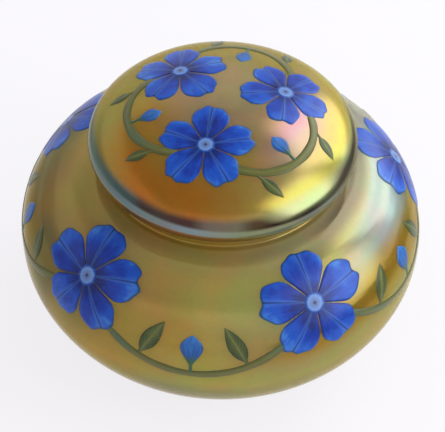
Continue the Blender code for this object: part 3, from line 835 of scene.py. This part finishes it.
leaf_green = cased("leaf_green_glass")
wide_place, long_place = leaf_green.sheet()
off_rib = leaf_green.apart(wide_place, 0.5)
slant = leaf_green.minus(leaf_green.times(long_place, 9.0), leaf_green.times(off_rib, 5.0))
veins = leaf_green.apart(leaf_green.math("FRACT", slant), 0.5)
patches = leaf_green.noise(leaf_green.place(), scale=160.0, detail=3.0)
depth = leaf_green.plus(leaf_green.times(off_rib, 0.9), leaf_green.times(patches, 0.5))
leaf_colour = leaf_green.ramp(depth, (0.25, LEAF_LIGHT), (0.50, LEAF_MID), (0.75, LEAF_DARK))
leaf_colour = leaf_green.mix(leaf_green.spread(veins, 0.09, 0.02, 0.0, 0.45), leaf_colour, VEIN_GREEN)
leaf_colour = leaf_green.mix(leaf_green.spread(off_rib, 0.05, 0.015, 0.0, 0.7), leaf_colour, RIB_GREEN)
leaf_green.feed("Base Color", leaf_colour)

for plan in garlands:
    for k in range(plan.bays):
        swag = Swag(plan, k)
        first, last = swag.ends()
        size = (plan.leaf[0] * (1 + STRAY_LEAF * plan.stray(k)), plan.leaf[1])
        for hand, end, forward in (("a", first, 1), ("b", last, -1)):
            outline = drop_outline(swag, end + LEAF_PLACE * (0.5 - end), (plan.leaf_swing, forward),
                                   plan.leaf_side, size, LEAF_FULLNESS)

            def blade(across, along):
                places, inside, share = outline(across, along)
                full = LEAF_BLADE + (1 - LEAF_BLADE) * np.exp(-((across - 0.5) / RIB_WIDTH) ** 2)
                return places, LEAF_RELIEF * (edge_round(inside, LEAF_EDGE) * full) - LAID_SINK
            leaf = laid_glass("leaf", plan, f"{k + 1}{hand}", blade, LEAF_COLUMNS, LEAF_ROWS, leaf_green)


# Buds: closed flowers of blue glass with a green calyx, one at the lowest place of each vine.
# The drop is pulled to a point and scored with a few lines while soft.
BUD_RELIEF = 0.6 * MM
BUD_EDGE = 2.4 * MM
BUD_FULLNESS = 1.5
BUD_COLUMNS = 24
BUD_ROWS = 40
SCORE_DEPTH = 0.18
SCORE_PLACE = 0.2
SCORE_WIDTH = 0.04
BUD_DARK = (0.006, 0.035, 0.16)
BUD_MID = (0.012, 0.090, 0.33)
BUD_LIGHT = (0.040, 0.190, 0.55)
CALYX_GREEN = (0.035, 0.100, 0.045)
BUD_RIM = (0.006, 0.030, 0.08)

bud_blue = cased("bud_blue_glass")
wide_place, long_place = bud_blue.sheet()
off_middle = bud_blue.apart(wide_place, 0.5)
pulled = bud_blue.point(X=bud_blue.times(wide_place, 7.0), Y=long_place)
lines = bud_blue.noise(pulled, scale=2.6, detail=4.0, roughness=0.6)
depth = bud_blue.plus(bud_blue.times(lines, 0.6), bud_blue.times(long_place, 0.4))
bud_colour = bud_blue.ramp(depth, (0.32, BUD_DARK), (0.52, BUD_MID), (0.75, BUD_LIGHT))
calyx = bud_blue.plus(long_place, bud_blue.times(bud_blue.minus(lines, 0.5), 0.35))
bud_colour = bud_blue.mix(bud_blue.spread(calyx, 0.52, 0.30), bud_colour, CALYX_GREEN)
bud_colour = bud_blue.mix(bud_blue.spread(off_middle, 0.40, 0.5, 0.0, 0.8), bud_colour, BUD_RIM)
bud_blue.feed("Base Color", bud_colour)

for plan in garlands:
    for k in range(plan.bays):
        outline = drop_outline(Swag(plan, k), 0.5, (math.pi / 2, 1), 1, plan.bud, BUD_FULLNESS)

        def closed_flower(across, along):
            places, inside, share = outline(across, along)
            line = np.exp(-((np.abs(across - 0.5) - SCORE_PLACE) / SCORE_WIDTH) ** 2)
            score = 1 - SCORE_DEPTH * line * np.sin(math.pi * share)
            return places, BUD_RELIEF * edge_round(inside, BUD_EDGE) * score - LAID_SINK
        bud = laid_glass("bud", plan, str(k + 1), closed_flower, BUD_COLUMNS, BUD_ROWS, bud_blue)


# Floor: a wide sheet of plain pale paper that the bowl stands on.
# It looks nearly white, also in the glass, and keeps the soft shadow of the bowl.
FLOOR_RADIUS = 4.0
FLOOR_DROP = 0.2 * MM
FLOOR_GLOW = 0.8
ROOM_WHITE = (0.985, 0.97, 1.0, 1)
bm = bmesh.new()
bmesh.ops.create_circle(bm, cap_ends=True, segments=96, radius=FLOOR_RADIUS)
bmesh.ops.translate(bm, vec=(0, 0, -FLOOR_DROP), verts=bm.verts)
floor = piece("floor", bm)


def seen_directly(tree):
    """Socket that is 1 for rays of the camera, of gloss and through glass, and 0 for others."""
    path = tree.nodes.new("ShaderNodeLightPath")
    total = path.outputs["Is Camera Ray"]
    for name in ("Is Glossy Ray", "Is Transmission Ray"):
        join = tree.nodes.new("ShaderNodeMath")
        join.operation = "MAXIMUM"
        tree.links.new(total, join.inputs[0])
        tree.links.new(path.outputs[name], join.inputs[1])
        total = join.outputs[0]
    return total


paper = Finish("pale_floor")
paper.set(base_color=(0.86, 0.85, 0.88, 1), roughness=0.9, specular_ior_level=0.1)
white = paper.node("Emission", Color=ROOM_WHITE, Strength=1.0).outputs[0]
share = paper.times(seen_directly(paper.tree), FLOOR_GLOW)
blend = paper.node("MixShader", Fac=share, i1=paper.shader.outputs[0], i2=white).outputs[0]
paper.tree.links.new(blend, paper.tree.nodes["Material Output"].inputs["Surface"])
floor.data.materials.append(paper.material)


# Light: two soft windows on the right, and cards that only the glass mirrors: grey ones on the left
# and above, and a dark and a grey table top. In each window a lamp lights what isn't glossy,
# and an even pale room fills the rest.
WINDOW_DISTANCE = 1.3
LAMP_SIZE = (0.75, 0.7)
LAMP_WATTS = 7.5
ROOM_LIGHT = 0.65
CARD_WHITE = (1, 1, 1)


def toward(azimuth, elevation):
    """Direction from the bowl; azimuth 0 is the camera's side and 90 the right."""
    a, e = math.radians(azimuth), math.radians(elevation)
    return Vector((math.sin(a) * math.cos(e), -math.cos(a) * math.cos(e), math.sin(e)))


def facing(away, distance):
    """Place at that distance, turned towards the bowl."""
    turn = (-away).to_track_quat("-Z", "Y").to_matrix().to_4x4()
    return Matrix.Translation(Vector((0, 0, BELLY_HEIGHT)) + distance * away) @ turn


def card(name, place, width, height, colour, strength, soft):
    """Card with soft edges in that place."""
    bm = bmesh.new()
    bm.loops.layers.uv.new("sheet")
    bmesh.ops.create_grid(bm, x_segments=1, y_segments=1, size=0.5, calc_uvs=True)
    bmesh.ops.scale(bm, vec=(width, height, 1), verts=bm.verts)
    bmesh.ops.transform(bm, matrix=place, verts=bm.verts)
    made = piece(name, bm)
    glow = Finish(name)
    fade = [glow.spread(glow.apart(share, 0.5), 0.5, 0.5 - soft) for share in glow.sheet()]
    light = glow.node("Emission", Color=(*colour, 1), Strength=strength).outputs[0]
    clear = glow.node("BsdfTransparent").outputs[0]
    mixed = glow.node("MixShader", Fac=glow.times(*fade), i1=clear, i2=light).outputs[0]
    glow.tree.links.new(mixed, glow.tree.nodes["Material Output"].inputs["Surface"])
    made.data.materials.append(glow.material)
    made.visible_camera = made.visible_diffuse = made.visible_shadow = False


def softbox(name, place, colour):
    """Soft lamp in that place."""
    lamp = bpy.data.lights.new(name, "AREA")
    lamp.shape = "RECTANGLE"
    lamp.size, lamp.size_y = LAMP_SIZE
    lamp.energy, lamp.color = LAMP_WATTS, colour
    made = bpy.data.objects.new(name, lamp)
    made.matrix_world = place
    made.visible_glossy = False
    bpy.context.scene.collection.objects.link(made)


for side, azimuth, elevation, wide, tall, soft, glow, tint in (
        ("front", 70, 29, 1.35, 1.85, 0.28, 3.6, (1.0, 0.99, 0.94)),
        ("back", 130, 34, 1.05, 1.4, 0.22, 4.0, (0.93, 0.98, 1.0))):
    window_place = facing(toward(azimuth, elevation), WINDOW_DISTANCE)
    softbox("lamp_" + side, window_place, tint)
    card("window_" + side, window_place, width=wide, height=tall, colour=tint, strength=glow, soft=soft)
card("flag_left", facing(toward(-92, 8), 0.9),
     width=2.3, height=0.5, colour=CARD_WHITE, strength=0.45, soft=0.35)
card("flag_above", facing(toward(0, 90), 2.0),
     width=5.0, height=5.0, colour=CARD_WHITE, strength=0.45, soft=0.2)
card("dark_table", Matrix.Translation((0.82, -0.2, 0.055)) @ Matrix.Rotation(math.radians(-5), 4, "Y"),
     width=1.16, height=1.5, colour=(1.0, 0.72, 0.4), strength=0.13, soft=0.1)
card("grey_table", Matrix.Translation((-0.55, 0.08, 1 * MM)),
     width=0.9, height=0.8, colour=(1.0, 0.93, 0.82), strength=0.66, soft=0.3)

world = bpy.data.worlds.new("studio")
world.use_nodes = True
bpy.context.scene.world = world
back = world.node_tree.nodes["Background"]
back.inputs["Color"].default_value = ROOM_WHITE
level = world.node_tree.nodes.new("ShaderNodeMapRange")
level.inputs["To Min"].default_value = ROOM_LIGHT
level.inputs["To Max"].default_value = 1.0
world.node_tree.links.new(seen_directly(world.node_tree), level.inputs["Value"])
world.node_tree.links.new(level.outputs[0], back.inputs["Strength"])


# Camera: at the photograph's angle, well above the bowl and a little off the level.
# Its lens and its small shift frame the bowl as the photograph does.
CAMERA_ELEVATION = math.radians(47.9)
CAMERA_DISTANCE = 0.6
CAMERA_ROLL = math.radians(1.37)
SENSOR_WIDTH = 36
IMAGE_WIDTH = 445
FOCAL_PIXELS = 1178
camera = bpy.data.objects.new("camera", bpy.data.cameras.new("camera"))
bpy.context.scene.collection.objects.link(camera)
outward = Vector((0, -math.cos(CAMERA_ELEVATION), math.sin(CAMERA_ELEVATION)))
camera.location = Vector((0, 0, BELLY_HEIGHT)) + CAMERA_DISTANCE * outward
camera.rotation_mode = "QUATERNION"
camera.rotation_quaternion = (-outward).to_track_quat("-Z", "Y") @ Quaternion((0, 0, 1), CAMERA_ROLL)
camera.data.sensor_width = SENSOR_WIDTH
camera.data.lens = SENSOR_WIDTH * FOCAL_PIXELS / IMAGE_WIDTH
camera.data.shift_x = 0.0034
camera.data.shift_y = 0.0108
camera.data.clip_start = 0.01
bpy.context.scene.camera = camera
bpy.context.scene.view_settings.view_transform = "Standard"
